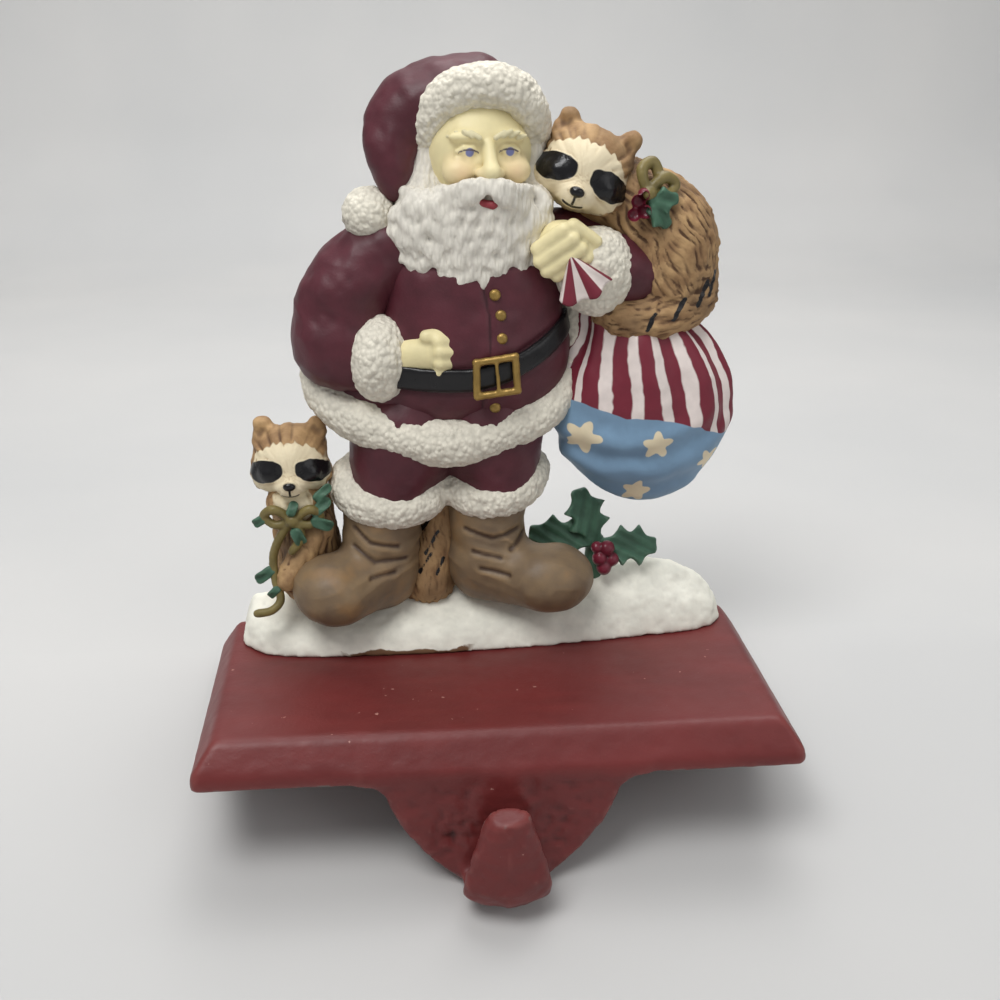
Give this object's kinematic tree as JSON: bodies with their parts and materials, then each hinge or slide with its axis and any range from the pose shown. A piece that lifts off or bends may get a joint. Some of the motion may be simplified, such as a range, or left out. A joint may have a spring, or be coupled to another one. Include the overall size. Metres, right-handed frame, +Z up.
{
  "type": "mantel stocking holder",
  "caption": "Cast plate that sits on a mantel edge, with a hook in front below it for a stocking and a painted resin winter figure group on top.",
  "frame": {"origin": "middle of the holder on the mantel's front top edge: the corner between the rim's underside and the tongue's back face", "axes": "+X to the right seen from the front, +Y back over the mantel, +Z up"},
  "size_m": [0.15, 0.0894, 0.1969],
  "materials": {
    "red_paint": "satin red paint over sand-cast iron",
    "coat_paint": "hand-painted burgundy resin, satin",
    "fur_paint": "hand-painted off-white resin, stippled",
    "beard_paint": "hand-painted grey-white resin",
    "flesh_paint": "hand-painted flesh resin",
    "boot_paint": "hand-painted brown resin, satin",
    "animal_paint": "hand-painted tan and brown resin",
    "black_enamel": "gloss black paint",
    "gold_paint": "antique gold paint",
    "sack_paint": "hand-painted stripes and stars",
    "leaf_paint": "hand-painted green",
    "berry_paint": "hand-painted dark red",
    "snow_paint": "grainy white",
    "screw_steel": "zinc plated"
  },
  "bodies": {
    "root": {"base_casting": "red_paint", "figure": "coat_paint", "mounting_screws": "screw_steel"}
  },
  "joints": []
}
